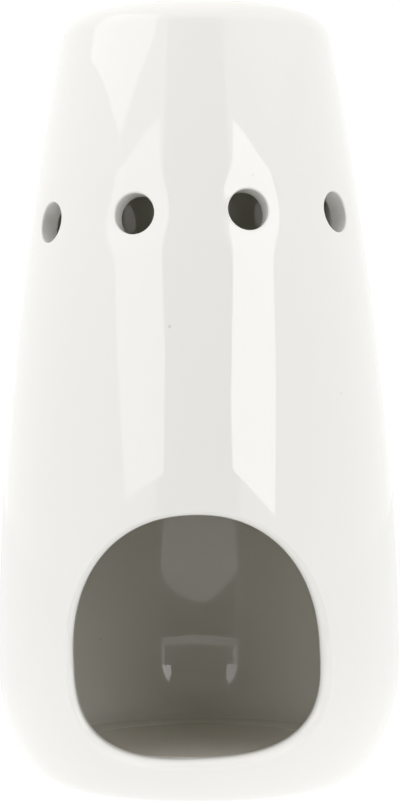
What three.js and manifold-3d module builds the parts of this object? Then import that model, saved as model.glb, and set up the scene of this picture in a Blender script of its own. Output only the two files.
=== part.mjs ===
// Wax melt burner: a tall slip-cast shell, a deep dish that hangs loose in its mouth, and a disc that
// closes its base.
// Millimetres, +Z up. The foot stands on z = 0 about the Z axis, and the tealight opening faces -Y.

import * as THREE from 'three';
import { mergeVertices } from 'three/addons/utils/BufferGeometryUtils.js';
import Module from 'manifold-3d';

const wasm = await Module();
wasm.setup();

// Body of the shell
const HEIGHT = 170.5; // foot to the top of the lip
const BELLY_RADIUS = 45; // the widest place
const BELLY_HEIGHT = 27; // where it is widest
const NECK_RADIUS = 29.7; // where the side, carried on past the lip's rounding, would meet the top
const TAPER_CURVE = 1.8; // 1 is a straight cone, 2 a parabola
const FOOT_RADIUS = 30.5; // outer edge of the flat ring that it stands on
const CORNER_FULLNESS = 2; // 2 is an ellipse, more is squarer
const WALL = 4.4; // even all over, as drained slip leaves it

// Base
const FOOT_RECESS = 3.5; // the underside is hollow, so only the ring stands
const FOOT_RING_WIDTH = 3;
const FOOT_RING_BEVEL = 1;
const FLOOR_THICKNESS = 5;
const POUR_HOLE_RADIUS = 25.4; // at the chamber floor
const POUR_HOLE_BEVEL = 0.8; // wider below by this, so the disc wedges in from under
const LUTING_GAP = 0.3; // thickness of the slip that sticks the disc in

// Mouth: the lip's outside is rounded, and inside it is bevelled to carry the dish
const LIP_CREST_RADIUS = 25.6;
const LIP_DROP = 5; // height of the outer rounding
const SEAT_WIDTH = 2; // the bevel, across
const SEAT_DEPTH = 2; // and down
const THROAT_DEPTH = 4; // of the straight throat below the bevel
const THROAT_COVE = 4; // fall from the throat's lower edge out to the wall

// Dish: a deep cup with a rolled rim
const DISH_HEIGHT = 58.6; // its underside to the top of its rim
const DISH_WALL = 3.4;
const DISH_FLAT_RADIUS = 10; // of its flat bottom
const DISH_FULLNESS = 5; // of its side, 2 being an ellipse
const RIM_CREST_RADIUS = 23.2;
const RIM_EDGE = 0.3; // height of the round at the rim's outer edge
const RIM_DROP_INSIDE = 4.6; // fall of the rim's rounding into the cup
const REST_GAP = 0.3; // between the rim and the bevel, square to them
const THROAT_CLEARANCE = 0.6; // between the cup's side and the throat

// Tealight opening, as seen from the front
const OPENING_WIDTH = 51.8;
const OPENING_ABOVE = 29.7; // from its widest line up to its top
const OPENING_BELOW = 21.1; // and down to its sill
const OPENING_SILL = 2; // sill above the chamber floor
const OPENING_SHIFT = -0.5;
const OPENING_TILT = 2.3; // degrees, its top leaning to -X
const OPENING_TOP_FULLNESS = 2.2;
const OPENING_SILL_FULLNESS = 3;

// Ring of vents, punched by hand while the clay was soft
const VENT_COUNT = 10;
const VENT_DIAMETER = 8.8;
const VENT_DROP = 45.9; // below the top of the lip
const VENT_TURN = -1.7; // degrees, of the whole ring
const VENT_CROWDING = 3.3; // degrees, by which the ring crowds to the back
const VENT_RISE = 1.1; // by which the ring climbs to +X

// Fineness of the round shapes
const SHELL_SIDES = 64;
const DISH_SIDES = 40;
const VENT_SIDES = 16;
const OPENING_POINTS = 44;
const CORNER_STEPS = 9;
const SIDE_STEPS = 9;
const LIP_STEPS = 5;
const RIM_STEPS = 4;
const CUP_STEPS = 10;

// Places that several pieces share
const FLOOR = FOOT_RECESS + FLOOR_THICKNESS;
const THROAT_RADIUS = LIP_CREST_RADIUS - SEAT_WIDTH;

const glazedWhite = new THREE.MeshStandardMaterial({ color: 0xf2f2ef, roughness: 0.08, metalness: 0 });
const bisqueWhite = new THREE.MeshStandardMaterial({ color: 0xe9e6df, roughness: 0.85, metalness: 0 });

// The numbers from 0 to 1 in equal steps, both ends included.
function steps(count) {
  return Array.from({ length: count + 1 }, (_, i) => i / count);
}

// A quarter of a superellipse from (r0, z0), where it lies flat, to (r1, z1), where it stands upright.
function flatToUpright(r0, z0, r1, z1, fullness, count) {
  return steps(count).map((t) => {
    const turn = (t * Math.PI) / 2;
    const out = Math.sin(turn) ** (2 / fullness);
    const up = 1 - Math.cos(turn) ** (2 / fullness);
    return [r0 + (r1 - r0) * out, z0 + (z1 - z0) * up];
  });
}

// A round that leaves the start towards the corner and reaches the end from it.
function rounded(start, corner, end, count) {
  const pull = 0.5523; // makes a quarter round of a cubic curve
  const [from, through, to] = [start, corner, end].map(([r, z]) => new THREE.Vector2(r, z));
  const curve = new THREE.CubicBezierCurve(from, from.clone().lerp(through, pull), to.clone().lerp(through, pull), to);
  return curve.getPoints(count).map(({ x, y }) => [x, y]);
}

// Radius of the shell's outside above the belly.
function sideRadius(z) {
  const rise = (z - BELLY_HEIGHT) / (HEIGHT - BELLY_HEIGHT);
  return BELLY_RADIUS - (BELLY_RADIUS - NECK_RADIUS) * rise ** TAPER_CURVE;
}

// How far the side leans in at a height, as an angle from upright.
function sideLean(z) {
  const step = 0.5;
  return Math.atan((sideRadius(z) - sideRadius(z + step)) / step);
}

// Outside of the shell from the foot to where the lip's rounding starts.
function shellOutside() {
  const corner = flatToUpright(FOOT_RADIUS, 0, BELLY_RADIUS, BELLY_HEIGHT, CORNER_FULLNESS, CORNER_STEPS);
  const lipStart = HEIGHT - LIP_DROP;
  const side = steps(SIDE_STEPS).slice(1).map((t) => {
    const z = BELLY_HEIGHT + (lipStart - BELLY_HEIGHT) * t;
    return [sideRadius(z), z];
  });
  return [...corner, ...side];
}

// The same line moved square to itself by the wall, and kept between two heights.
function shellInside(outside, bottom, top) {
  const moved = outside.map(([r, z], i) => {
    const [r0, z0] = outside[Math.max(i - 1, 0)];
    const [r1, z1] = outside[Math.min(i + 1, outside.length - 1)];
    const length = Math.hypot(r1 - r0, z1 - z0);
    return [r - (WALL * (z1 - z0)) / length, z + (WALL * (r1 - r0)) / length];
  });
  const inside = [];
  moved.slice(1).forEach(([r, z], i) => {
    const [r0, z0] = moved[i];
    const between = (height) => [r0 + ((r - r0) * (height - z0)) / (z - z0), height];
    if (z0 < bottom && z > bottom) inside.push(between(bottom));
    if (z > bottom && z < top) inside.push([r, z]);
    if (z0 < top && z >= top) inside.push(between(top));
  });
  return inside;
}

// The shell's section, out and up along the outside and back down the inside.
function shellSection() {
  const outside = shellOutside();
  const ringInner = FOOT_RADIUS - FOOT_RING_WIDTH;
  const throatTop = HEIGHT - SEAT_DEPTH;
  const throatBottom = throatTop - THROAT_DEPTH;
  return [
    [POUR_HOLE_RADIUS + POUR_HOLE_BEVEL, FOOT_RECESS],
    [ringInner - FOOT_RING_BEVEL, FOOT_RECESS],
    [ringInner, 0],
    ...outside,
    ...rounded(outside.at(-1), [NECK_RADIUS, HEIGHT], [LIP_CREST_RADIUS, HEIGHT], LIP_STEPS).slice(1),
    [THROAT_RADIUS, throatTop],
    [THROAT_RADIUS, throatBottom],
    ...shellInside(outside, FLOOR, throatBottom - THROAT_COVE).reverse(),
    [POUR_HOLE_RADIUS, FLOOR],
  ];
}

// The dish's section about its own axis, with the top of its rim at zero.
function dishSection() {
  const bevel = SEAT_WIDTH / SEAT_DEPTH;
  const bevelEdge = LIP_CREST_RADIUS - REST_GAP * Math.hypot(bevel, 1);
  const side = THROAT_RADIUS - THROAT_CLEARANCE;
  const sideTop = (side - bevelEdge) / bevel;
  const rimEdge = bevelEdge - RIM_EDGE * bevel;
  const inside = side - DISH_WALL;
  const floor = DISH_WALL - DISH_HEIGHT;
  return [
    [0, -DISH_HEIGHT],
    ...flatToUpright(DISH_FLAT_RADIUS, -DISH_HEIGHT, side, sideTop, DISH_FULLNESS, CUP_STEPS),
    ...rounded([rimEdge, -RIM_EDGE], [bevelEdge, 0], [RIM_CREST_RADIUS, 0], RIM_STEPS),
    ...rounded([RIM_CREST_RADIUS, 0], [inside, 0], [inside, -RIM_DROP_INSIDE], RIM_STEPS).slice(1),
    ...flatToUpright(DISH_FLAT_RADIUS, floor, inside, sideTop, DISH_FULLNESS, CUP_STEPS)
      .filter(([, z]) => z < -RIM_DROP_INSIDE)
      .reverse(),
    [0, floor],
  ];
}

// The base disc's section: bevelled like the pour hole, and clear of it by the luting gap.
function discSection() {
  const top = POUR_HOLE_RADIUS - LUTING_GAP;
  const below = top + POUR_HOLE_BEVEL;
  return [[0, 0], [below, 0], [top, FLOOR_THICKNESS], [0, FLOOR_THICKNESS]];
}

// A closed solid from a three.js geometry.
function toSolid(geometry) {
  geometry.deleteAttribute('normal');
  geometry.deleteAttribute('uv');
  const merged = mergeVertices(geometry, 1e-4);
  const corners = Array.from(merged.index.array);
  const faces = [];
  for (let i = 0; i < corners.length; i += 3) {
    const face = corners.slice(i, i + 3);
    if (new Set(face).size === 3) faces.push(...face);
  }
  return new wasm.Manifold(new wasm.Mesh({
    numProp: 3,
    vertProperties: merged.attributes.position.array,
    triVerts: Uint32Array.from(faces),
  }));
}

// A section turned about the Z axis.
function turned(section, sides) {
  const outline = section.map(([r, z]) => new THREE.Vector2(r, z));
  if (outline[0].x > 0) outline.push(outline[0].clone());
  return toSolid(new THREE.LatheGeometry(outline, sides).rotateX(Math.PI / 2));
}

// The tool that cuts the tealight opening: its outline carried from the axis out through the front.
function openingCutter() {
  const floorToWidest = FLOOR + OPENING_SILL + OPENING_BELOW;
  const tilt = THREE.MathUtils.degToRad(OPENING_TILT);
  const outline = steps(OPENING_POINTS).slice(1).map((t) => {
    const turn = 2 * Math.PI * t;
    const above = Math.sin(turn) > 0;
    const fullness = above ? OPENING_TOP_FULLNESS : OPENING_SILL_FULLNESS;
    const reach = above ? OPENING_ABOVE : OPENING_BELOW;
    const part = (value) => Math.sign(value) * Math.abs(value) ** (2 / fullness);
    const across = new THREE.Vector2((part(Math.cos(turn)) * OPENING_WIDTH) / 2, part(Math.sin(turn)) * reach);
    return across.rotateAround(new THREE.Vector2(), tilt).add(new THREE.Vector2(OPENING_SHIFT, floorToWidest));
  });
  const reachOut = BELLY_RADIUS + WALL;
  const cutter = new THREE.ExtrudeGeometry(new THREE.Shape(outline), { depth: reachOut, bevelEnabled: false });
  return toSolid(cutter.rotateX(Math.PI / 2));
}

// The tools that punch the vents, each square to the leaning side.
function ventCutters() {
  const punch = 4 * WALL;
  return Array.from({ length: VENT_COUNT }, (_, i) => {
    const even = ((i + 0.5) / VENT_COUNT) * 2 * Math.PI;
    const turn = even + THREE.MathUtils.degToRad(VENT_TURN + VENT_CROWDING * Math.sin(even));
    const z = HEIGHT - VENT_DROP + VENT_RISE * Math.sin(even);
    const cutter = new THREE.CylinderGeometry(VENT_DIAMETER / 2, VENT_DIAMETER / 2, punch, VENT_SIDES);
    const place = new THREE.Matrix4().makeRotationZ(turn)
      .multiply(new THREE.Matrix4().makeTranslation(0, -sideRadius(z), z))
      .multiply(new THREE.Matrix4().makeRotationX(-sideLean(z)));
    return toSolid(cutter.applyMatrix4(place));
  });
}

function toMesh(name, solid, finish) {
  const { vertProperties, triVerts } = solid.getMesh();
  const geometry = new THREE.BufferGeometry();
  geometry.setAttribute('position', new THREE.BufferAttribute(vertProperties, 3));
  geometry.setIndex(new THREE.BufferAttribute(triVerts, 1));
  geometry.computeVertexNormals();
  const mesh = new THREE.Mesh(geometry, finish);
  mesh.name = name;
  return mesh;
}

function bodyShell() {
  const cutters = [openingCutter(), ...ventCutters()];
  const shell = cutters.reduce((left, cutter) => left.subtract(cutter), turned(shellSection(), SHELL_SIDES));
  return toMesh('body_shell', shell, glazedWhite);
}

function baseDisc() {
  const disc = toMesh('base_disc', turned(discSection(), SHELL_SIDES), bisqueWhite);
  disc.position.z = FOOT_RECESS;
  return disc;
}

function meltDish() {
  const dish = toMesh('melt_dish', turned(dishSection(), DISH_SIDES), glazedWhite);
  dish.position.z = HEIGHT;
  return dish;
}

const group = new THREE.Group();
group.add(bodyShell(), baseDisc(), meltDish());

export default group;
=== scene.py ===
"""A tall wax melt burner in white glazed earthenware, shown from its front on a light table.

The shell is turned from its section, then a Geometry Nodes tree presses the clay in around each vent,
punches the vents and cuts the tealight opening. The dish and the base disc are turned in the same way.
Sizes here are in millimetres, and meshes are made in metres.
"""
import math
from functools import partial

import bpy
from mathutils import Matrix, Vector


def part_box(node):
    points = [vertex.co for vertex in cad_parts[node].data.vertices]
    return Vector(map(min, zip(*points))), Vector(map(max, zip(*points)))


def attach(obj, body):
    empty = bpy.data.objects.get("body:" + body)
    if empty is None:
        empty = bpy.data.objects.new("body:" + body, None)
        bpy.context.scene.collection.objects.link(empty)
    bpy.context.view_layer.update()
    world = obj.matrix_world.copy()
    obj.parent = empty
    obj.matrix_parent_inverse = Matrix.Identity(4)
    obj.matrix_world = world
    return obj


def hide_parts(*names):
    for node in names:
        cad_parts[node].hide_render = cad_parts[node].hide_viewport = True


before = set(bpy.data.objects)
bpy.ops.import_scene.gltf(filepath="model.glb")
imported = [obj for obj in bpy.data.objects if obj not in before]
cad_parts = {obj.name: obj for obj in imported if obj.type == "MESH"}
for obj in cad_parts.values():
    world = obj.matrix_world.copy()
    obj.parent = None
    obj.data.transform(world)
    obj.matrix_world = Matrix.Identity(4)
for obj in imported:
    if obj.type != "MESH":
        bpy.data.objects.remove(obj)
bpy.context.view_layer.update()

MM = 0.001

# Sizes that come from the frame
SHELL_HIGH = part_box("body_shell")[1] / MM
DISH_LOW, DISH_HIGH = (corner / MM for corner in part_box("melt_dish"))
DISC_LOW, DISC_HIGH = (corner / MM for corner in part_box("base_disc"))
HEIGHT = SHELL_HIGH.z
BELLY_RADIUS = SHELL_HIGH.x
FLOOR = DISC_HIGH.z
FOOT_RECESS = DISC_LOW.z
DISH_TOP = DISH_HIGH.z
DISH_HEIGHT = DISH_HIGH.z - DISH_LOW.z

# Shell, as it is in the solids
BELLY_HEIGHT = 27
NECK_RADIUS = 29.7
TAPER_CURVE = 1.8
FOOT_RADIUS = 30.5
CORNER_FULLNESS = 2
WALL = 4.4
FOOT_RING_WIDTH = 3
FOOT_RING_BEVEL = 1
POUR_HOLE_RADIUS = 25.4
POUR_HOLE_BEVEL = 0.8
LUTING_GAP = 0.3

# Mouth
LIP_CREST_RADIUS = 25.6
LIP_DROP = 5
SEAT_WIDTH = 2
SEAT_DEPTH = 2
THROAT_DEPTH = 4
THROAT_COVE = 4
THROAT_RADIUS = LIP_CREST_RADIUS - SEAT_WIDTH
THROAT_FOOT = HEIGHT - SEAT_DEPTH - THROAT_DEPTH

# Dish
DISH_WALL = 3.4
DISH_FLAT_RADIUS = 10
DISH_FULLNESS = 5
RIM_CREST_RADIUS = 23.2
RIM_EDGE = 0.3
RIM_DROP_INSIDE = 4.6
REST_GAP = 0.3
THROAT_CLEARANCE = 0.6

# Rounding that glaze and a wet sponge leave on every edge
FINE_ROUND = 0.4
FLOOR_COVE = 2.5
FOOT_ROUND = 0.8
SEAT_ROUND = 0.6
THROAT_ROUND = 1.6
HOLE_ROUND_BELOW = 0.2
HOLE_ROUND_ABOVE = 0.08

# Tealight opening
OPENING_WIDTH = 51.8
OPENING_ABOVE = 29.7
OPENING_BELOW = 21.1
OPENING_SILL = 2
OPENING_SHIFT = -0.5
OPENING_TILT = math.radians(2.3)
OPENING_TOP_FULLNESS = 2.2
OPENING_SILL_FULLNESS = 3
# The outer edge is rounded more on the right, and more below
OPENING_ROUND = 1.3
OPENING_ROUND_RIGHT = 0.25
OPENING_ROUND_BELOW = 0.35
OPENING_ROUND_INSIDE = 0.8

# Ring of vents
VENT_COUNT = 10
VENT_DIAMETER = 8.8
VENT_HEIGHT = HEIGHT - 45.9
VENT_RISE = 1.1
VENT_TURN = math.radians(-1.7)
VENT_CROWDING = math.radians(3.3)
VENT_ROUND = 0.45
VENT_DIP = 0.22
VENT_DIP_REACH = 3.2

# How finely each curve is made
COLUMNS = 256
DISH_COLUMNS = 192
CORNER_STEPS = 40
# Steps of the side below the vents, past them and above them
SIDE_STEPS = (52, 34, 20)
# How far the part of the side that holds the vents goes above and below their middles
VENT_BAND = 12
LIP_STEPS = 14
RIM_STEPS = 6
RIM_STEPS_INSIDE = 12
DISH_STEPS = 48
EDGE_STEPS = 4
ARC_STEPS = 8
WALL_SPACING = 1.6
DISH_SPACING = 0.5
# Rings of the disc's flat faces, and how far towards its edge they go below and above
DISC_RINGS = 8
DISC_RINGS_BELOW = 0.97
DISC_RINGS_ABOVE = 0.98
OUTLINE_STEPS = 4000
OPENING_POINTS = 180
VENT_POINTS = 56
# The point of the outside that the foot's edge leans towards, and the least rise of the side over that edge
FOOT_LEAN_POINT = 8
FOOT_CLEARANCE = 0.05
# Distance over which a slope is taken, on the side and on the opening's edge
LEAN_STEP = 0.5
SLOPE_STEP = 0.05
# How often the round of the opening's edge is moved until it touches both faces
TOUCH_ROUNDS = 8
# Handle length of a Bezier curve that stands for a quarter of a circle of radius 1
ARC_PULL = 0.5523
# A point of a section that is nearer to the axis than this lies on it
ON_AXIS = 1e-6

# Cutting tools: each round stops at this angle to the face and goes on straight, so that the cut is clean
CLEAN_CUT = math.radians(12)
CUT_EXTENSION = 0.5
OPENING_TOOL_FRONT = BELLY_RADIUS + 10
OPENING_TOOL_BACK = 10
VENT_PUNCH_REACH = 6
RAY_START = 12
SAME_FACE = 0.01

# Glaze: its colour outside and in the chamber's foot, the painted shade higher in the chamber, the floor's
# colour, specks
GLAZE_COLOUR = "DFDEDA"
CHAMBER_COLOUR = "E0DED4"
PAINTED_SHADE_COLOUR = "B6B4A7"
PAINTED_SHADE_LOW = 45
PAINTED_SHADE_HIGH = 105
PAINTED_SHADE_FADE = 8
FLOOR_COLOUR = "DDD5CB"
SPECK_COLOUR = "CFCBC1"
POOLING_SIZE = 18
POOLING_HEIGHT = 0.03
SPECK_SPACING = 6
SPECK_SIZE = 0.5
SPECK_SHARE = 0.06

# Bare clay: its grain and its faint clouds, light and dark
CLAY_LIGHT = "E9E5DA"
CLAY_DARK = "DDD7C8"
GRAIN_SIZE = 0.35
GRAIN_HEIGHT = 0.05
CLOUD_SIZE = 9

# Sockets of a Mix node that mixes colours
MIX_SHARE = 0
MIX_FIRST = 6
MIX_SECOND = 7
MIX_RESULT = 2

# Camera, with lengths on the picture in pixels of a picture 400 wide and 804 high
IMAGE_HEIGHT = 804
FOCAL_PIXELS = 2200
SENSOR = 36
VIEW_SHIFT = (2.57, -1.2)
VIEW_ROLL = math.radians(-0.352)
CAMERA_DISTANCE = 495.94
CAMERA_HEIGHT = 84.84

# Studio: how bright each thing is against the white of the picture
ROOM_RADIANCE = 1.16
TABLE_RADIANCE = 1
TABLE_SIZE = 4000
# The table is brighter at the burner, where the tubes under it stand: by how much, and how far that reaches
TABLE_GLOW = 0.22
TABLE_GLOW_REACH = 130
PANEL_DISTANCE = 650
# Name, direction it stands in, corners as (how far to the right, height), radiance
PANELS = (
    ("softbox_left", math.radians(-38),
     ((230, 141.5), (241, 206.5), (129, 441.5), (-239, 368.5), (-27, 109.5)), 2.4),
    ("softbox_right", math.radians(36),
     ((-192, 141.5), (-193, 206.5), (-96, 437.5), (200, 371.5), (78, 96.5)), 3.7),
    ("softbox_left_high", math.radians(-68),
     ((-330, 444), (120, 402), (434, 581), (434, 1000), (-330, 1000)), 2.5),
    ("softbox_right_high", math.radians(68),
     ((370, 460), (-110, 402), (-417, 567), (-417, 1000), (370, 1000)), 1.45),
    ("card_round_lens", 0,
     ((-280, 0), (280, 0), (280, 700), (-280, 700)), 0.27),
)
# The table's dark front frame: half its length, its two long edges, how far it stands proud, radiance
FRAME_HALF_LENGTH = 600
FRAME_EDGES = (-226, -150)
FRAME_HEIGHT = 0.5
FRAME_RADIANCE = 0.04


def steps(count):
    """The numbers from 0 to 1 in equal steps, both ends included."""
    return [i / count for i in range(count + 1)]


def flat_to_upright(start, end, fullness, count):
    """A quarter of a superellipse from start, where it lies flat, to end, where it stands upright."""
    points = []
    for t in steps(count):
        turn = t * math.pi / 2
        out = math.sin(turn) ** (2 / fullness)
        up = 1 - math.cos(turn) ** (2 / fullness)
        points.append((start[0] + (end[0] - start[0]) * out, start[1] + (end[1] - start[1]) * up))
    return points


def rounded(start, corner, end, count=ARC_STEPS):
    """A round that leaves start towards the corner and reaches end from it."""
    points = []
    for t in steps(count):
        weights = ((1 - t) ** 3, 3 * (1 - t) ** 2 * t, 3 * (1 - t) * t ** 2, t ** 3)
        point = []
        for a, c, b in zip(start, corner, end):
            handles = (a, a + (c - a) * ARC_PULL, b + (c - b) * ARC_PULL, b)
            point.append(sum(w * h for w, h in zip(weights, handles)))
        points.append(tuple(point))
    return points


def towards(start, end, distance):
    """The point that lies this far from start on the way to end."""
    length = math.dist(start, end)
    return tuple(a + (b - a) * distance / length for a, b in zip(start, end))


def softened(before, corner, after, distance=FINE_ROUND):
    """A corner of a section with its edge rounded off."""
    return rounded(towards(corner, before, distance), corner, towards(corner, after, distance), EDGE_STEPS)


def side_radius(z):
    """Radius of the shell's outside, from the foot's edge to the lip."""
    if z < BELLY_HEIGHT:
        below = (BELLY_HEIGHT - z) / BELLY_HEIGHT
        out = (1 - below ** CORNER_FULLNESS) ** (1 / CORNER_FULLNESS)
        return FOOT_RADIUS + (BELLY_RADIUS - FOOT_RADIUS) * out
    rise = (z - BELLY_HEIGHT) / (HEIGHT - BELLY_HEIGHT)
    return BELLY_RADIUS - (BELLY_RADIUS - NECK_RADIUS) * rise ** TAPER_CURVE


def side_lean(z):
    """How far the side leans in at a height, as an angle from upright."""
    return math.atan2(side_radius(z) - side_radius(z + LEAN_STEP), LEAN_STEP)


def shell_outside():
    """The shell's outside from the foot's edge to where the lip's rounding starts."""
    corner = flat_to_upright((FOOT_RADIUS, 0), (BELLY_RADIUS, BELLY_HEIGHT), CORNER_FULLNESS, CORNER_STEPS)
    levels = (BELLY_HEIGHT, VENT_HEIGHT - VENT_BAND, VENT_HEIGHT + VENT_BAND, HEIGHT - LIP_DROP)
    heights = []
    for low, high, count in zip(levels, levels[1:], SIDE_STEPS):
        heights += [low + (high - low) * t for t in steps(count)[1:]]
    return corner + [(side_radius(z), z) for z in heights]


def moved_in(line, distance):
    """A section line moved square to itself, towards its left as it is followed up."""
    moved = []
    for i, (r, z) in enumerate(line):
        r0, z0 = line[max(i - 1, 0)]
        r1, z1 = line[min(i + 1, len(line) - 1)]
        length = math.hypot(r1 - r0, z1 - z0)
        moved.append((r - distance * (z1 - z0) / length, z + distance * (r1 - r0) / length))
    return moved


def crossing(line, z):
    """The point of a rising line at a height."""
    for (r0, z0), (r1, z1) in zip(line, line[1:]):
        if z0 <= z <= z1:
            return (r0 + (r1 - r0) * (z - z0) / (z1 - z0), z)
    raise ValueError(f"the line doesn't reach {z}")


def chamber_wall():
    """The chamber's wall, from its cove at the floor up to the cove under the throat."""
    inside = moved_in(shell_outside(), WALL)
    cove_top = crossing(inside, FLOOR + FLOOR_COVE)
    corner = crossing(inside, FLOOR)
    floor_end = (corner[0] - FLOOR_COVE, FLOOR)
    top = THROAT_FOOT - THROAT_COVE
    between = [point for point in inside if cove_top[1] < point[1] < top]
    wall = [cove_top] + between + [crossing(inside, top)]
    return rounded(floor_end, corner, cove_top)[:-1] + thinned(wall, WALL_SPACING)


def thinned(line, spacing):
    """A section line without the points that crowd closer than the spacing."""
    kept = [line[0]]
    for point in line[1:-1]:
        if math.dist(point, kept[-1]) >= spacing:
            kept.append(point)
    return kept + [line[-1]]


def shell_section():
    """The shell's section in three parts that follow each other and close.

    They are the base up to the foot's edge, the outside up to the lip, and the mouth down to the pour hole.
    """
    outside = shell_outside()
    foot_corner = (FOOT_RADIUS, 0)
    ring_corner = (FOOT_RADIUS - FOOT_RING_WIDTH, 0)
    recess_corner = (FOOT_RADIUS - FOOT_RING_WIDTH - FOOT_RING_BEVEL, FOOT_RECESS)
    hole_below = (POUR_HOLE_RADIUS + POUR_HOLE_BEVEL, FOOT_RECESS)
    hole_above = (POUR_HOLE_RADIUS, FLOOR)
    base = softened(hole_above, hole_below, recess_corner, HOLE_ROUND_BELOW)
    base += softened(hole_below, recess_corner, ring_corner)
    base += softened(recess_corner, ring_corner, foot_corner, FOOT_ROUND)
    foot_edge = softened(ring_corner, foot_corner, outside[FOOT_LEAN_POINT], FOOT_ROUND)
    side = foot_edge + [point for point in outside if point[1] > foot_edge[-1][1] + FOOT_CLEARANCE]
    crest = (LIP_CREST_RADIUS, HEIGHT)
    lip_end = (LIP_CREST_RADIUS + FINE_ROUND, HEIGHT)
    lip = rounded(side[-1], (NECK_RADIUS, HEIGHT), lip_end, LIP_STEPS)
    seat_foot = (THROAT_RADIUS, HEIGHT - SEAT_DEPTH)
    throat_foot = (THROAT_RADIUS, THROAT_FOOT)
    wall = chamber_wall()
    mouth = softened(lip_end, crest, seat_foot)
    mouth += softened(crest, seat_foot, throat_foot, SEAT_ROUND)
    mouth += softened(seat_foot, throat_foot, wall[-1], THROAT_ROUND)
    inside = wall[::-1] + softened(wall[0], hole_above, hole_below, HOLE_ROUND_ABOVE)
    return base, side + lip[1:-1], mouth + inside


def dish_section():
    """The dish's section from the axis underneath round to the axis inside."""
    bevel = SEAT_WIDTH / SEAT_DEPTH
    bevel_edge = LIP_CREST_RADIUS - REST_GAP * math.hypot(bevel, 1)
    side = THROAT_RADIUS - THROAT_CLEARANCE
    side_top = DISH_TOP + (side - bevel_edge) / bevel
    rim_edge = (bevel_edge - RIM_EDGE * bevel, DISH_TOP - RIM_EDGE)
    inside = side - DISH_WALL
    underside = DISH_TOP - DISH_HEIGHT
    floor = underside + DISH_WALL
    crest = (RIM_CREST_RADIUS, DISH_TOP)
    rim_foot = (inside, DISH_TOP - RIM_DROP_INSIDE)
    cup = flat_to_upright((DISH_FLAT_RADIUS, underside), (side, side_top), DISH_FULLNESS, DISH_STEPS)
    rim = rounded(rim_edge, (bevel_edge, DISH_TOP), crest, RIM_STEPS)
    rim += rounded(crest, (inside, DISH_TOP), rim_foot, RIM_STEPS_INSIDE)[1:]
    hollow = flat_to_upright((DISH_FLAT_RADIUS, floor), (inside, side_top), DISH_FULLNESS, DISH_STEPS)
    hollow = [point for point in hollow if point[1] < rim_foot[1] - DISH_SPACING][::-1]
    neck = softened(cup[-2], cup[-1], rim_edge, SEAT_ROUND)
    floors = [(DISH_FLAT_RADIUS * part, floor) for part in (2 / 3, 1 / 3, 0)]
    undersides = [(DISH_FLAT_RADIUS * part, underside) for part in (0, 1 / 3, 2 / 3)]
    return undersides + thinned(cup[:-2], DISH_SPACING) + neck + rim + thinned(hollow, DISH_SPACING) + floors


def disc_section():
    """The base disc's section from the axis underneath round to the axis on the chamber floor."""
    top = (POUR_HOLE_RADIUS - LUTING_GAP, FLOOR)
    below = (POUR_HOLE_RADIUS - LUTING_GAP + POUR_HOLE_BEVEL, FOOT_RECESS)
    rings = steps(DISC_RINGS)
    bottom = [(below[0] * t * DISC_RINGS_BELOW, FOOT_RECESS) for t in rings]
    upper = [(top[0] * t * DISC_RINGS_ABOVE, FLOOR) for t in rings[::-1]]
    edge = softened((0, FOOT_RECESS), below, top, HOLE_ROUND_BELOW)
    edge += softened(below, top, (0, FLOOR), HOLE_ROUND_ABOVE)
    return bottom + edge + upper


def smooth_object(name, vertices, faces):
    """A mesh object from vertices in metres, shaded smooth and put in the scene."""
    mesh = bpy.data.meshes.new(name)
    mesh.from_pydata(vertices, [], faces)
    mesh.shade_smooth()
    made = bpy.data.objects.new(name, mesh)
    bpy.context.scene.collection.objects.link(made)
    return made


def turned(name, section, columns, closed):
    """A mesh object turned about the Z axis from a section in millimetres."""
    vertices = []
    rings = []
    for r, z in section:
        if r < ON_AXIS:
            rings.append([len(vertices)] * columns)
            vertices.append((0, 0, z * MM))
            continue
        rings.append(list(range(len(vertices), len(vertices) + columns)))
        for i in range(columns):
            turn = 2 * math.pi * i / columns
            vertices.append((r * MM * math.sin(turn), -r * MM * math.cos(turn), z * MM))
    faces = []
    follower = rings[1:] + rings[:1] if closed else rings[1:]
    for lower, upper in zip(rings, follower):
        for i in range(columns):
            j = (i + 1) % columns
            corners = [lower[i], lower[j], upper[j], upper[i]]
            faces.append([c for k, c in enumerate(corners) if c != corners[k - 1]])
    return smooth_object(name, vertices, faces)


def opening_outline():
    """Points of the tealight opening as seen from the front, and the way out of it at each.

    Both are given as (x, z).
    """
    widest = FLOOR + OPENING_SILL + OPENING_BELOW

    def place(turn):
        above = math.sin(turn) > 0
        fullness = OPENING_TOP_FULLNESS if above else OPENING_SILL_FULLNESS
        reach = OPENING_ABOVE if above else OPENING_BELOW
        x = math.copysign(abs(math.cos(turn)) ** (2 / fullness), math.cos(turn)) * OPENING_WIDTH / 2
        z = math.copysign(abs(math.sin(turn)) ** (2 / fullness), math.sin(turn)) * reach
        tilted_x = x * math.cos(OPENING_TILT) - z * math.sin(OPENING_TILT)
        tilted_z = x * math.sin(OPENING_TILT) + z * math.cos(OPENING_TILT)
        return (OPENING_SHIFT + tilted_x, widest + tilted_z)

    dense = [place(2 * math.pi * i / OUTLINE_STEPS) for i in range(OUTLINE_STEPS)]
    lengths = [0]
    for a, b in zip(dense, dense[1:] + dense[:1]):
        lengths.append(lengths[-1] + math.dist(a, b))
    points = []
    j = 0
    for i in range(OPENING_POINTS):
        goal = lengths[-1] * i / OPENING_POINTS
        while lengths[j + 1] < goal:
            j += 1
        points.append(dense[j])
    outward = []
    for before, after in zip(points[-1:] + points[:-1], points[1:] + points[:1]):
        length = math.dist(before, after)
        outward.append(((after[1] - before[1]) / length, (before[0] - after[0]) / length))
    return points, outward


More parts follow.
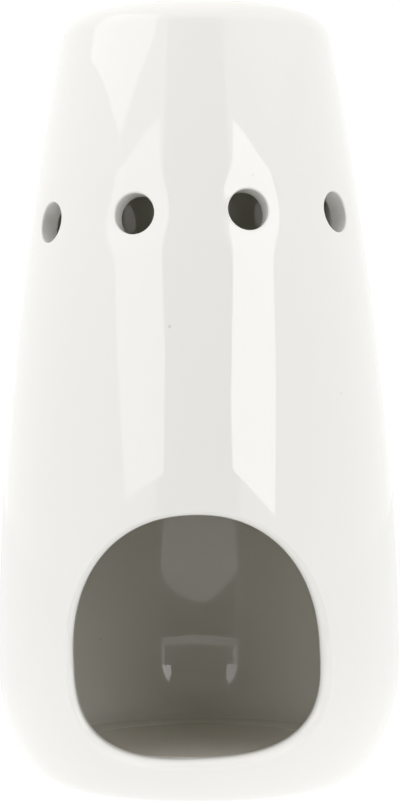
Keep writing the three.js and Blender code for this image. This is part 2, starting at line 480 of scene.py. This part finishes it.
def soft_edge(depth, point, outward, radius):
    """A round between the opening's wall and a face of the clay, from the wall out past the face.

    depth(x, z) is how far the face lies from the middle of the clay's thickness. The points are (x, y, z),
    and y is less the further they lie from that middle.
    """

    def face(s):
        return -depth(point[0] + s * outward[0], point[1] + s * outward[1])

    s = 0
    for _ in range(TOUCH_ROUNDS):
        slope = (face(s + SLOPE_STEP) - face(s - SLOPE_STEP)) / (2 * SLOPE_STEP)
        length = math.hypot(slope, 1)
        middle = face(s) - slope * s + slope * radius + radius * length
        s = radius * (1 + slope / length)
    stop = math.pi / 2 + math.atan(slope) - CLEAN_CUT
    line = []
    for t in steps(ARC_STEPS):
        turn = stop * t
        line.append((radius - radius * math.cos(turn), middle - radius * math.sin(turn)))
    along, down = line[-1]
    line.append((along + CUT_EXTENSION * math.sin(stop), down - CUT_EXTENSION * math.cos(stop)))
    return [(point[0] + a * outward[0], b, point[1] + a * outward[1]) for a, b in line]


def opening_tool():
    """The solid that cuts the tealight opening with soft edges outside and in."""
    points, outward = opening_outline()
    wall = chamber_wall()
    middle = BELLY_RADIUS - WALL / 2

    def outer_depth(x, z):
        return math.sqrt(max(side_radius(z) ** 2 - x ** 2, 0)) - middle

    def inner_depth(x, z):
        radius = crossing(wall, z)[0] if z > wall[0][1] else wall[0][0]
        return middle - math.sqrt(max(radius ** 2 - x ** 2, 0))

    rings = []
    for point, way in zip(points, outward):
        radius = OPENING_ROUND + OPENING_ROUND_RIGHT * way[0] - OPENING_ROUND_BELOW * way[1]
        outer = soft_edge(outer_depth, point, way, radius)
        inner = soft_edge(inner_depth, point, way, OPENING_ROUND_INSIDE)
        out = [(x, y - middle, z) for x, y, z in outer]
        into = [(x, -y - middle, z) for x, y, z in inner]
        front = (out[-1][0], -OPENING_TOOL_FRONT, out[-1][2])
        back = (into[-1][0], -OPENING_TOOL_BACK, into[-1][2])
        rings.append([front] + out[::-1] + into + [back])
    vertices = [tuple(c * MM for c in vertex) for ring in rings for vertex in ring]
    across = len(rings[0])
    faces = []
    for i in range(len(rings)):
        j = (i + 1) % len(rings)
        for k in range(across - 1):
            faces.append((i * across + k, i * across + k + 1, j * across + k + 1, j * across + k))
    faces.append([i * across for i in range(len(rings))])
    faces.append([i * across + across - 1 for i in range(len(rings))][::-1])
    return smooth_object("opening_tool", vertices, faces)


def mark_rings(mesh, name, counts, columns):
    """Stores an attribute that is the same for every point of a ring, from (value, rings) pairs."""
    values = [value for value, rings in counts for _ in range(rings * columns)]
    mesh.attributes.new(name, "FLOAT", "POINT").data.foreach_set("value", values)


def vent_punch():
    """The tool that punches a vent: upright, flared where it passes a face of the clay.

    Its proud attribute says how far each point goes outside the face that it follows, and its facing
    attribute is 1 where that is the outer face and -1 where it is the inner one.
    """
    bore = VENT_DIAMETER / 2
    stop = math.pi / 2 - CLEAN_CUT
    flare = []
    for t in steps(ARC_STEPS):
        turn = stop * t
        flare.append((bore + VENT_ROUND * (1 - math.cos(turn)), VENT_ROUND * (math.sin(turn) - 1)))
    edge, proud = flare[-1]
    edge += CUT_EXTENSION * math.sin(stop)
    flare.append((edge, proud + CUT_EXTENSION * math.cos(stop)))
    flare.append((edge, VENT_PUNCH_REACH))
    profile = [(r, -WALL - proud) for r, proud in flare[::-1]] + flare
    vertices = []
    for r, z in profile:
        for i in range(VENT_POINTS):
            turn = 2 * math.pi * i / VENT_POINTS
            vertices.append((r * MM * math.cos(turn), r * MM * math.sin(turn), z * MM))
    rings = len(profile)
    faces = []
    for k in range(rings - 1):
        for i in range(VENT_POINTS):
            j = (i + 1) % VENT_POINTS
            low = k * VENT_POINTS
            high = low + VENT_POINTS
            faces.append((low + i, low + j, high + j, high + i))
    faces.append(list(range(VENT_POINTS))[::-1])
    faces.append(list(range((rings - 1) * VENT_POINTS, rings * VENT_POINTS)))
    punch = smooth_object("vent_punch", vertices, faces)
    mark_rings(punch.data, "proud", [(proud * MM, 1) for _, proud in flare[::-1] + flare], VENT_POINTS)
    mark_rings(punch.data, "facing", ((-1, len(flare)), (1, len(flare))), VENT_POINTS)
    return punch


def add_node(tree, kind, *inputs, named=None, **settings):
    """Adds a node with its settings, and sets or links its inputs, given in order or by name.

    A node given as an input stands for its first output, and None leaves an input as it is.
    """
    node = tree.nodes.new(kind)
    for name, value in settings.items():
        setattr(node, name, value)
    for key, value in [*enumerate(inputs), *(named or {}).items()]:
        if isinstance(value, bpy.types.Node):
            value = value.outputs[0]
        if isinstance(value, bpy.types.NodeSocket):
            tree.links.new(value, node.inputs[key])
        elif value is not None:
            node.inputs[key].default_value = value
    return node


def shell_tree():
    """Geometry Nodes that press the clay in round each vent, punch the vents and cut the opening."""
    tree = bpy.data.node_groups.new("punched_shell", "GeometryNodeTree")
    sockets = {
        "Geometry": "NodeSocketGeometry",
        "Vents": "NodeSocketInt",
        "Ring Height": "NodeSocketFloat",
        "Ring Rise": "NodeSocketFloat",
        "Ring Turn": "NodeSocketFloat",
        "Ring Crowding": "NodeSocketFloat",
        "Ring Radius": "NodeSocketFloat",
        "Side Lean": "NodeSocketFloat",
        "Bore Radius": "NodeSocketFloat",
        "Dip": "NodeSocketFloat",
        "Dip Reach": "NodeSocketFloat",
        "Punch": "NodeSocketObject",
        "Opening Tool": "NodeSocketObject",
        "Glaze": "NodeSocketMaterial",
        "Glaze With Painted Shade": "NodeSocketMaterial",
        "Bare Clay": "NodeSocketMaterial",
    }
    for name, kind in sockets.items():
        tree.interface.new_socket(name, in_out="INPUT", socket_type=kind)
    tree.interface.new_socket("Geometry", in_out="OUTPUT", socket_type="NodeSocketGeometry")
    add = partial(add_node, tree)
    given = add("NodeGroupInput").outputs
    here = add("GeometryNodeInputPosition")
    normal = add("GeometryNodeInputNormal")

    # Places of the vents: evenly round, but for the turn, the crowding and the rise of hand work
    counted = add("ShaderNodeMath", add("GeometryNodeInputIndex"), 0.5, operation="ADD")
    share = add("ShaderNodeMath", counted, given["Vents"], operation="DIVIDE")
    even = add("ShaderNodeMath", share, 2 * math.pi, operation="MULTIPLY")
    swing = add("ShaderNodeMath", even, operation="SINE")
    turn = add("ShaderNodeMath", swing, given["Ring Crowding"], even, operation="MULTIPLY_ADD")
    turn = add("ShaderNodeMath", turn, given["Ring Turn"], operation="ADD")
    rise = add("ShaderNodeMath", swing, given["Ring Rise"], operation="MULTIPLY")
    height = add("ShaderNodeMath", given["Ring Height"], rise, operation="ADD")
    slope = add("ShaderNodeMath", given["Side Lean"], operation="TANGENT")
    drawn_in = add("ShaderNodeMath", rise, slope, operation="MULTIPLY")
    radius = add("ShaderNodeMath", given["Ring Radius"], drawn_in, operation="SUBTRACT")
    spoke = add("ShaderNodeCombineXYZ", 0, add("ShaderNodeMath", radius, -1, operation="MULTIPLY"), height)
    place = add("ShaderNodeVectorRotate", spoke, named={"Angle": turn}, rotation_type="Z_AXIS")
    places = add("GeometryNodePoints", given["Vents"], place)

    # Clay pressed in towards each vent
    nearest = add("GeometryNodeProximity", places, target_element="POINTS").outputs["Distance"]
    beyond = add("ShaderNodeMath", nearest, given["Bore Radius"], operation="SUBTRACT")
    beyond = add("ShaderNodeMath", beyond, 0, operation="MAXIMUM")
    reach = add("ShaderNodeMath", beyond, given["Dip Reach"], operation="DIVIDE")
    square = add("ShaderNodeMath", reach, reach, operation="MULTIPLY")
    fall = add("ShaderNodeMath", square, -1, operation="MULTIPLY")
    fall = add("ShaderNodeMath", fall, operation="EXPONENT")
    outside = add("GeometryNodeInputNamedAttribute", "outside", data_type="FLOAT")
    depth = add("ShaderNodeMath", fall, outside, operation="MULTIPLY")
    depth = add("ShaderNodeMath", depth, given["Dip"], operation="MULTIPLY")
    inward = add("ShaderNodeMath", depth, -1, operation="MULTIPLY")
    press = add("ShaderNodeVectorMath", normal, named={"Scale": inward}, operation="SCALE")
    pressed = add("GeometryNodeSetPosition", given["Geometry"], named={"Offset": press})

    # A punch at each vent, square to the leaning side, which remembers the way out along its bore
    tilt = add("ShaderNodeMath", math.pi / 2, given["Side Lean"], operation="SUBTRACT")
    facing = add("FunctionNodeEulerToRotation", add("ShaderNodeCombineXYZ", tilt, 0, turn))
    bore = add("FunctionNodeRotateVector", (0, 0, 1), facing)
    marked = add("GeometryNodeStoreNamedAttribute", places, data_type="FLOAT_VECTOR",
                 named={"Name": "bore", "Value": bore})
    punch = add("GeometryNodeObjectInfo", given["Punch"]).outputs["Geometry"]
    punches = add("GeometryNodeInstanceOnPoints", marked, named={"Instance": punch, "Rotation": facing})
    punches = add("GeometryNodeRealizeInstances", punches)

    # The flare of each punch follows the face that it passes
    along = add("GeometryNodeInputNamedAttribute", "bore", data_type="FLOAT_VECTOR")
    proud = add("GeometryNodeInputNamedAttribute", "proud", data_type="FLOAT")
    facing_out = add("GeometryNodeInputNamedAttribute", "facing", data_type="FLOAT")
    out = add("ShaderNodeVectorMath", along, named={"Scale": facing_out}, operation="SCALE")
    start = add("ShaderNodeVectorMath", out, named={"Scale": RAY_START * MM}, operation="SCALE")
    start = add("ShaderNodeVectorMath", here, start, operation="ADD")
    back = add("ShaderNodeVectorMath", out, named={"Scale": -1}, operation="SCALE")
    ray = add("GeometryNodeRaycast", pressed, named={
        "Source Position": start, "Ray Direction": back, "Ray Length": 2 * RAY_START * MM})
    raised = add("ShaderNodeVectorMath", out, named={"Scale": proud}, operation="SCALE")
    followed = add("ShaderNodeVectorMath", ray.outputs["Hit Position"], raised, operation="ADD")
    punches = add("GeometryNodeSetPosition", punches, ray.outputs["Is Hit"], followed)

    # The cuts
    opening = add("GeometryNodeObjectInfo", given["Opening Tool"]).outputs["Geometry"]
    tools = add("GeometryNodeJoinGeometry", punches)
    tree.links.new(opening, tools.inputs[0])
    cut = add("GeometryNodeMeshBoolean", operation="DIFFERENCE", solver="MANIFOLD",
              named={"Mesh 1": pressed, "Mesh 2": tools})
    cut = add("GeometryNodeSetShadeSmooth", cut)

    # What is left of the turned faces keeps the normals that it had before the cuts
    away = add("GeometryNodeProximity", pressed, target_element="FACES").outputs["Distance"]
    uncut = add("FunctionNodeCompare", away, SAME_FACE * MM, data_type="FLOAT", operation="LESS_THAN")
    before = add("GeometryNodeSampleNearestSurface", pressed, normal, data_type="FLOAT_VECTOR")
    shade = add("GeometryNodeSwitch", uncut, normal, before, input_type="VECTOR")
    shaded = add("GeometryNodeSetMeshNormal", cut, mode="FREE", domain="POINT",
                 named={"Custom Normal": shade})

    # Finishes
    bare = add("GeometryNodeInputNamedAttribute", "bare", data_type="FLOAT")
    wiped = add("FunctionNodeCompare", bare, 0.9, data_type="FLOAT", operation="GREATER_THAN")
    whole = add("GeometryNodeRealizeInstances", shaded)
    # The chamber's inside gets the glaze with painted shade
    chamber = add("GeometryNodeInputNamedAttribute", "chamber", data_type="FLOAT")
    painted_shade = add("FunctionNodeCompare", chamber, 0.5, data_type="FLOAT", operation="GREATER_THAN")
    glazed = add("GeometryNodeSetMaterial", whole, named={"Material": given["Glaze"]})
    greyed = add("GeometryNodeSetMaterial", glazed, painted_shade, given["Glaze With Painted Shade"])
    finished = add("GeometryNodeSetMaterial", greyed, wiped, given["Bare Clay"])
    add("NodeGroupOutput", finished)
    return tree


def linear(hex_colour):
    """An sRGB colour such as F3F1EA as linear light, with alpha."""
    parts = [int(hex_colour[i:i + 2], 16) / 255 for i in (0, 2, 4)]
    return [c / 12.92 if c <= 0.04045 else ((c + 0.055) / 1.055) ** 2.4 for c in parts] + [1]


def blank_material(name):
    """A material without nodes, and the function that adds nodes to it."""
    material = bpy.data.materials.new(name)
    material.use_nodes = True
    material.node_tree.nodes.clear()
    return material, partial(add_node, material.node_tree)


def glazed_earthenware(name, low_colour=GLAZE_COLOUR, high_colour=GLAZE_COLOUR):
    """White earthenware under a clear gloss glaze, dipped and fired.

    The eye sees warm white clay under a smooth skin of glass that reflects the softboxes sharply. The
    glaze pooled a little unevenly, which bends the reflections, and a few specks of iron came through.
    In the chamber, painted shade greys the white more the higher it lies, and fades out just below the
    throat.
    """
    material, add = blank_material(name)
    place = add("ShaderNodeTexCoord").outputs["Object"]
    pooling = add("ShaderNodeTexNoise", named={
        "Vector": place, "Scale": 1 / (POOLING_SIZE * MM), "Detail": 1, "Roughness": 0.4})
    bump = add("ShaderNodeBump", named={"Height": pooling, "Distance": POOLING_HEIGHT * MM, "Strength": 1})
    specks = add("ShaderNodeTexVoronoi", named={"Vector": place, "Scale": 1 / (SPECK_SPACING * MM)})
    speck_size = SPECK_SIZE / SPECK_SPACING
    speck = add("ShaderNodeMapRange", specks.outputs["Distance"], speck_size, speck_size / 2, 0, 1)
    chosen = add("ShaderNodeSeparateColor", specks.outputs["Color"])
    chosen = add("ShaderNodeMath", chosen, SPECK_SHARE, operation="LESS_THAN")
    speck = add("ShaderNodeMath", speck, chosen, operation="MULTIPLY")
    height = add("ShaderNodeSeparateXYZ", place).outputs["Z"]
    # Painted shade in the chamber: the colour darkens from low_colour towards high_colour with height, and
    # fades back just below the throat
    painted_shade_share = add("ShaderNodeMapRange", height, PAINTED_SHADE_LOW * MM, PAINTED_SHADE_HIGH * MM, 0, 1)
    painted_shade_stop = add("ShaderNodeMapRange", height, (THROAT_FOOT - PAINTED_SHADE_FADE) * MM, THROAT_FOOT * MM, 1, 0)
    painted_shade_share = add("ShaderNodeMath", painted_shade_share, painted_shade_stop, operation="MULTIPLY")
    white = add("ShaderNodeMix", data_type="RGBA", named={
        MIX_SHARE: painted_shade_share, MIX_FIRST: linear(low_colour), MIX_SECOND: linear(high_colour)})
    tint = add("ShaderNodeMix", data_type="RGBA", named={
        MIX_SHARE: speck, MIX_FIRST: white.outputs[MIX_RESULT], MIX_SECOND: linear(SPECK_COLOUR)})
    shader = add("ShaderNodeBsdfPrincipled", named={
        "Base Color": tint.outputs[MIX_RESULT], "Roughness": 0.02, "IOR": 1.5, "Normal": bump})
    add("ShaderNodeOutputMaterial", shader)
    return material


def bare_earthenware():
    """White earthenware wiped clean of glaze before firing.

    The eye sees a matt, warmer white, finely grained like blotting paper.
    """
    material, add = blank_material("bare_earthenware")
    place = add("ShaderNodeTexCoord").outputs["Object"]
    grain = add("ShaderNodeTexNoise", named={"Vector": place, "Scale": 1 / (GRAIN_SIZE * MM), "Detail": 4})
    bump = add("ShaderNodeBump", named={"Height": grain, "Distance": GRAIN_HEIGHT * MM, "Strength": 0.8})
    clouds = add("ShaderNodeTexNoise", named={"Vector": place, "Scale": 1 / (CLOUD_SIZE * MM), "Detail": 3})
    tint = add("ShaderNodeMix", data_type="RGBA", named={
        MIX_SHARE: clouds, MIX_FIRST: linear(CLAY_DARK), MIX_SECOND: linear(CLAY_LIGHT)})
    shader = add("ShaderNodeBsdfPrincipled", named={
        "Base Color": tint.outputs[MIX_RESULT], "Roughness": 0.85, "IOR": 1.45, "Normal": bump})
    add("ShaderNodeOutputMaterial", shader)
    return material


def cast_shell(glaze, painted_shade, clay):
    """The shell, turned and then punched and cut by its Geometry Nodes tree, as a plain mesh object."""
    base, side, inside = shell_section()
    shell = turned("shell", base + side + inside, COLUMNS, closed=True)
    mark_rings(shell.data, "outside", ((0, len(base)), (1, len(side)), (0, len(inside))), COLUMNS)
    bare = [1 if z < FOOT_ROUND / 2 else 0 for _, z in base + side + inside]
    mark_rings(shell.data, "bare", [(flag, 1) for flag in bare], COLUMNS)
    # Rings of the chamber's inside, which get the glaze with painted shade
    chamber = [0] * len(base + side) + [1 if z < THROAT_FOOT else 0 for _, z in inside]
    mark_rings(shell.data, "chamber", [(flag, 1) for flag in chamber], COLUMNS)
    punch = vent_punch()
    tool = opening_tool()
    tree = shell_tree()
    modifier = shell.modifiers.new("punched_shell", "NODES")
    modifier.node_group = tree
    wanted = {
        "Vents": VENT_COUNT,
        "Ring Height": VENT_HEIGHT * MM,
        "Ring Rise": VENT_RISE * MM,
        "Ring Turn": VENT_TURN,
        "Ring Crowding": VENT_CROWDING,
        "Ring Radius": side_radius(VENT_HEIGHT) * MM,
        "Side Lean": side_lean(VENT_HEIGHT),
        "Bore Radius": VENT_DIAMETER / 2 * MM,
        "Dip": VENT_DIP * MM,
        "Dip Reach": VENT_DIP_REACH * MM,
        "Punch": punch,
        "Opening Tool": tool,
        "Glaze": glaze,
        "Glaze With Painted Shade": painted_shade,
        "Bare Clay": clay,
    }
    for item in tree.interface.items_tree:
        if item.in_out == "INPUT" and item.name in wanted:
            modifier[item.identifier] = wanted[item.name]
    evaluated = shell.evaluated_get(bpy.context.evaluated_depsgraph_get())
    shell.data = bpy.data.meshes.new_from_object(evaluated)
    shell.modifiers.clear()
    for used in (punch, tool):
        bpy.data.objects.remove(used)
    return shell


def settle(piece, node, body):
    """Puts a finished piece in the place of its CAD node."""
    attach(piece, body)
    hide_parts(node)


def glowing(name, radiance, glow=0):
    """A material that gives off white light: its radiance everywhere, and the glow added at the origin."""
    material, add = blank_material(name)
    place = add("ShaderNodeTexCoord").outputs["Object"]
    far = add("ShaderNodeVectorMath", place, operation="LENGTH").outputs["Value"]
    share = add("ShaderNodeMath", far, TABLE_GLOW_REACH * MM, operation="DIVIDE")
    fall = add("ShaderNodeMath", share, 2, operation="POWER")
    fall = add("ShaderNodeMath", fall, -1, operation="MULTIPLY")
    fall = add("ShaderNodeMath", fall, operation="EXPONENT")
    strength = add("ShaderNodeMath", fall, glow, radiance, operation="MULTIPLY_ADD")
    add("ShaderNodeOutputMaterial", add("ShaderNodeEmission", (1, 1, 1, 1), strength))
    return material


def staged(name, vertices, radiance, seen, glow=0):
    """A flat sheet of the studio that gives off light, with its corners in millimetres."""
    mesh = bpy.data.meshes.new(name)
    mesh.from_pydata([tuple(c * MM for c in corner) for corner in vertices], [], [range(len(vertices))])
    mesh.materials.append(glowing(name, radiance, glow))
    sheet = bpy.data.objects.new(name, mesh)
    sheet.visible_camera = seen
    bpy.context.scene.collection.objects.link(sheet)


def panel(name, facing, corners, radiance):
    """A softbox's cloth or a card, which the glaze mirrors but the camera doesn't see.

    It stands upright, square to the direction facing, which is 0 in front and grows to the viewer's right.
    """
    across = Vector((math.cos(facing), math.sin(facing), 0))
    middle = Vector((math.sin(facing), -math.cos(facing), 0)) * PANEL_DISTANCE
    vertices = [middle + across * u + Vector((0, 0, z)) for u, z in corners]
    staged(name, vertices, radiance, seen=False)


def photographer_camera():
    """The camera, about level with the burner's middle and turned a little about its own line of sight."""
    data = bpy.data.cameras.new("camera")
    data.sensor_width = SENSOR
    data.lens = SENSOR * FOCAL_PIXELS / IMAGE_HEIGHT
    data.shift_x = VIEW_SHIFT[0] / IMAGE_HEIGHT
    data.shift_y = VIEW_SHIFT[1] / IMAGE_HEIGHT
    data.clip_start = 0.01
    camera = bpy.data.objects.new("camera", data)
    camera.matrix_world = (
        Matrix.Translation((0, -CAMERA_DISTANCE * MM, CAMERA_HEIGHT * MM))
        @ Matrix.Rotation(math.pi / 2, 4, "X")
        @ Matrix.Rotation(VIEW_ROLL, 4, "Z")
    )
    bpy.context.scene.collection.objects.link(camera)
    bpy.context.scene.camera = camera


def rectangle(half_length, front, back, height):
    """Corners of a level rectangle that lies across the view."""
    return [(-half_length, front, height), (half_length, front, height),
            (half_length, back, height), (-half_length, back, height)]


def studio():
    """A white room, softboxes, and a light table of opal acrylic lit from below."""
    scene = bpy.context.scene
    scene.view_settings.view_transform = "Standard"
    world = bpy.data.worlds.new("white_room")
    world.use_nodes = True
    world.node_tree.nodes.clear()
    add = partial(add_node, world.node_tree)
    add("ShaderNodeOutputWorld", add("ShaderNodeBackground", (1, 1, 1, 1), ROOM_RADIANCE))
    scene.world = world
    for row in PANELS:
        panel(*row)
    half = TABLE_SIZE / 2
    table = rectangle(half, -half, half, 0)
    front = rectangle(FRAME_HALF_LENGTH, *FRAME_EDGES, FRAME_HEIGHT)
    staged("light_table", table, TABLE_RADIANCE, seen=True, glow=TABLE_GLOW)
    staged("table_frame", front, FRAME_RADIANCE, seen=False)


glaze = glazed_earthenware("white_glazed_earthenware")
# The chamber's glaze with painted shade, greyer the higher it lies
painted_shade = glazed_earthenware("glaze_with_painted_shade", CHAMBER_COLOUR, PAINTED_SHADE_COLOUR)
thin = glazed_earthenware("thinly_glazed_earthenware", FLOOR_COLOUR, FLOOR_COLOUR)
clay = bare_earthenware()
shell = cast_shell(glaze, painted_shade, clay)
settle(shell, "body_shell", "burner")

dish = turned("dish", dish_section(), DISH_COLUMNS, closed=False)
dish.data.materials.append(glaze)
dish.data.materials.append(painted_shade)
# The dish's outside, down in the chamber, gets the glaze with painted shade
for face in dish.data.polygons:
    outward = face.normal.z < -0.5 or face.normal.xy.dot(face.center.xy) > 0
    face.material_index = 1 if outward and face.center.z < THROAT_FOOT * MM else 0
settle(dish, "melt_dish", "dish")

disc = turned("disc", disc_section(), DISH_COLUMNS, closed=False)
disc.data.materials.append(thin)
disc.data.materials.append(clay)
for face in disc.data.polygons:
    face.material_index = 0 if face.normal.z > 0.5 else 1
settle(disc, "base_disc", "burner")

photographer_camera()
studio()
